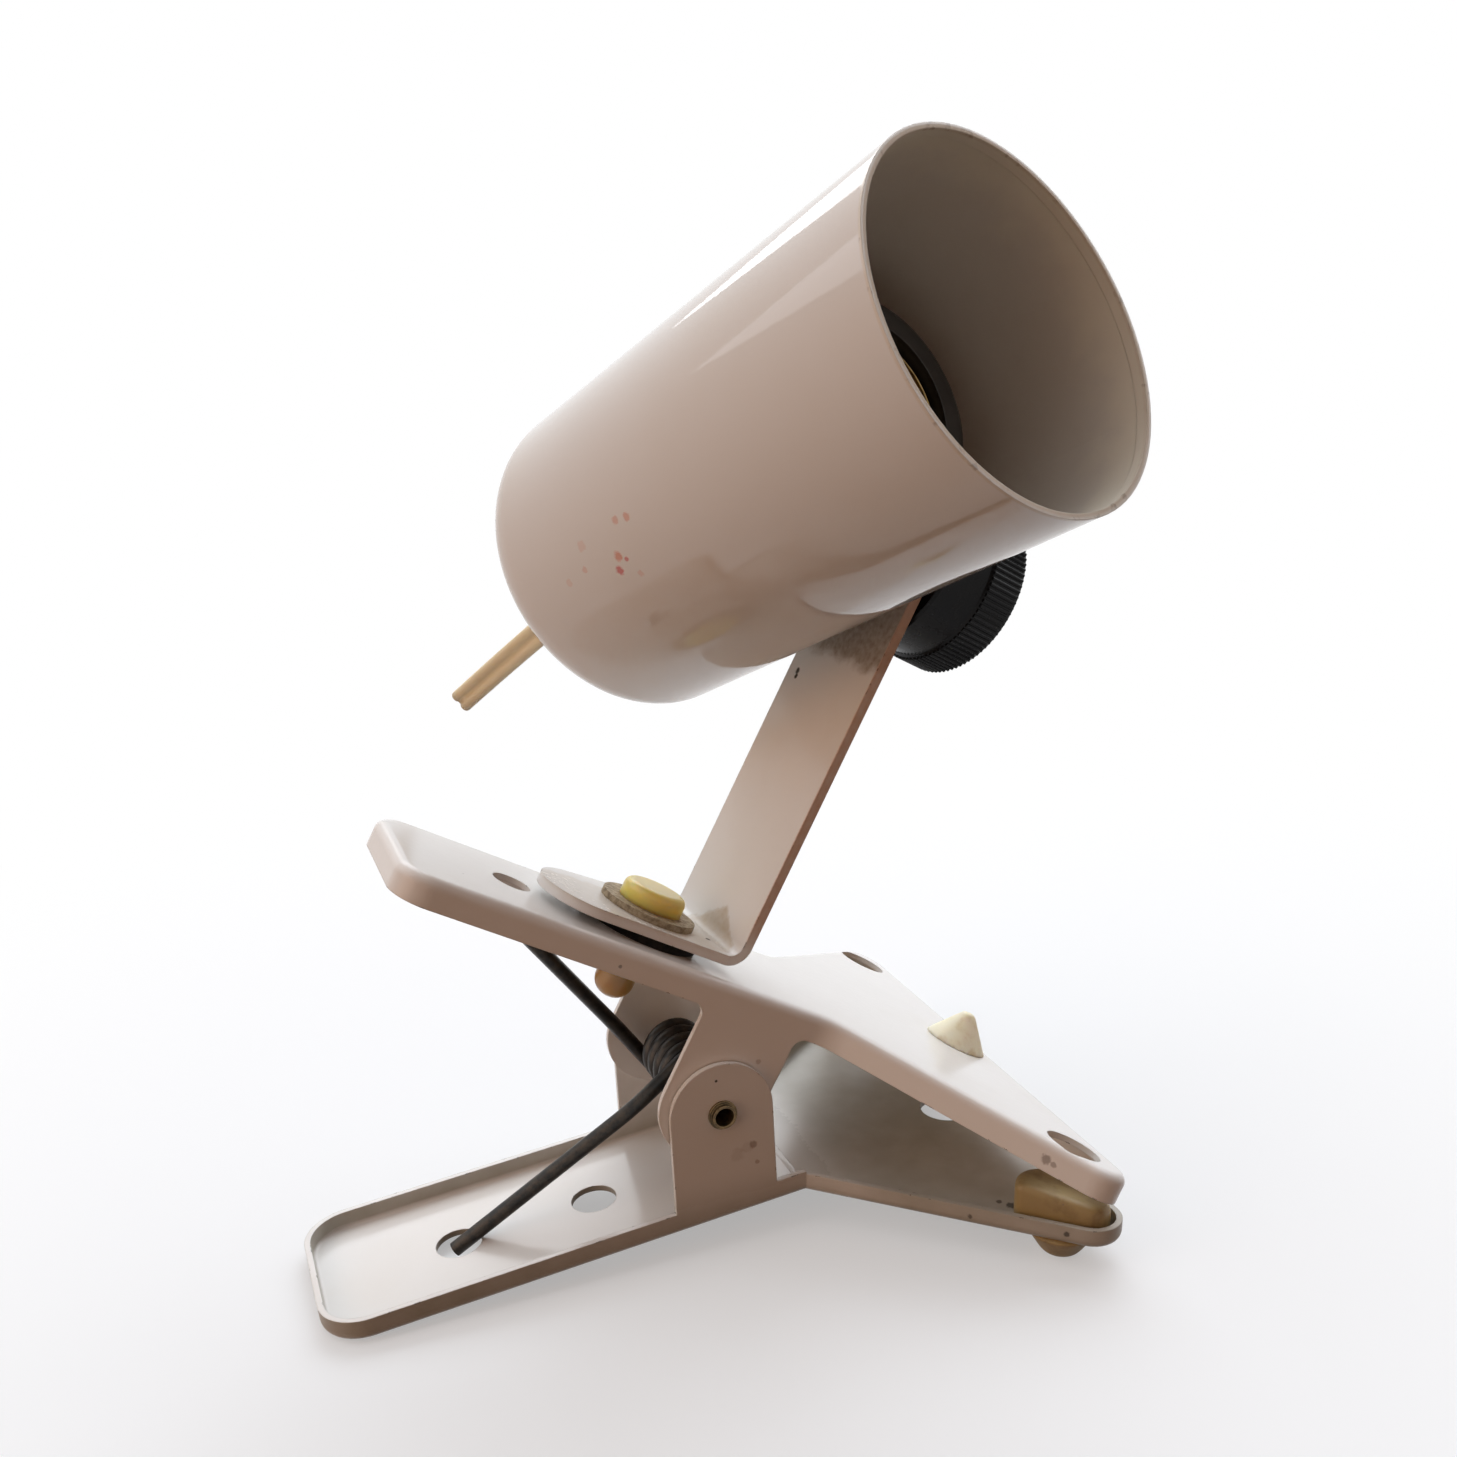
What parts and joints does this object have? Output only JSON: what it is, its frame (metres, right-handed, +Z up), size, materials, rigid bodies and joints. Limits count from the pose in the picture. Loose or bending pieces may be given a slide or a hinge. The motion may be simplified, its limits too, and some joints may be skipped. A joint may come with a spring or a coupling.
{
  "type": "clip-on spotlight",
  "caption": "Spring-clip spotlight: fan-shaped sheet jaws with rubber pads, a flat cranked arm on a swivel, and a tilting cone shade with a screw lampholder and flat flex.",
  "frame": {"origin": "middle of the bounding box at its foot, cord left out", "axes": "+Z up with the clip's pivot pin level along Y, +X towards the jaws' front edge"},
  "size_m": [0.1552, 0.1584, 0.2064],
  "materials": {
    "clip_enamel": "gloss off-white enamel on pressed sheet",
    "shade_enamel": "gloss off-white enamel, spun cone",
    "pad_rubber": "matt cream rubber",
    "nylon": "satin amber nylon",
    "black_plastic": "gloss black",
    "black_fibre": "matt black",
    "spring_steel": "blackened",
    "zinc_steel": "dull zinc plate",
    "brass": "dull",
    "porcelain": "satin",
    "cord_pvc": "satin cream",
    "copper": "bare strands"
  },
  "bodies": {
    "lower_clip": {"lower_jaw": "clip_enamel", "lower_pad_near": "pad_rubber", "lower_pad_far": "pad_rubber", "pivot_pin": "brass", "torsion_spring": "spring_steel"},
    "upper_clip": {"upper_jaw": "clip_enamel", "upper_pad": "pad_rubber", "swivel_stud": "nylon", "swivel_dome": "nylon", "swivel_spacer": "black_fibre", "swivel_washer": "zinc_steel"},
    "swing_arm": {"arm": "clip_enamel", "fibre_washer": "black_fibre"},
    "knob": {"tilt_knob": "black_plastic", "knob_insert": "brass"},
    "lamp_head": {"tilt_screw": "zinc_steel", "tilt_spacer": "black_fibre", "tilt_washer": "zinc_steel", "shade": "shade_enamel", "nipple": "zinc_steel", "nipple_nut": "zinc_steel", "cord_bush": "nylon", "holder_cap": "black_plastic", "holder_sleeve": "black_plastic", "holder_ring": "black_plastic", "contact_block": "porcelain", "screw_shell": "brass", "centre_contact": "brass", "terminal_screws": "brass", "flex": "cord_pvc", "flex_cores": "copper"}
  },
  "joints": [
    {"name": "clip_open", "type": "hinge", "parent": "lower_clip", "child": "upper_clip", "pos_m": [0.00111, 0.0082, 0.02952], "axis": [0, -1, 0], "range_deg": [0, 35], "stiffness_Nm_per_rad": 1, "springref_deg": -34.38, "deforming": ["torsion_spring"]},
    {"name": "arm_swivel", "type": "hinge", "parent": "upper_clip", "child": "swing_arm", "pos_m": [-0.00729, 0.0082, 0.06255], "axis": [0.5075, 0, 0.8616], "continuous": true},
    {"name": "head_tilt", "type": "hinge", "parent": "swing_arm", "child": "lamp_head", "pos_m": [0.04974, 0.00999, 0.13062], "axis": [-0.8552, -0.1219, 0.5038], "range_deg": [-85, 10]},
    {"name": "knob_turn", "type": "hinge", "parent": "swing_arm", "child": "knob", "pos_m": [0.05146, 0.01023, 0.12962], "axis": [0.8552, 0.1219, -0.5038], "range_deg": [0, 360]}
  ]
}
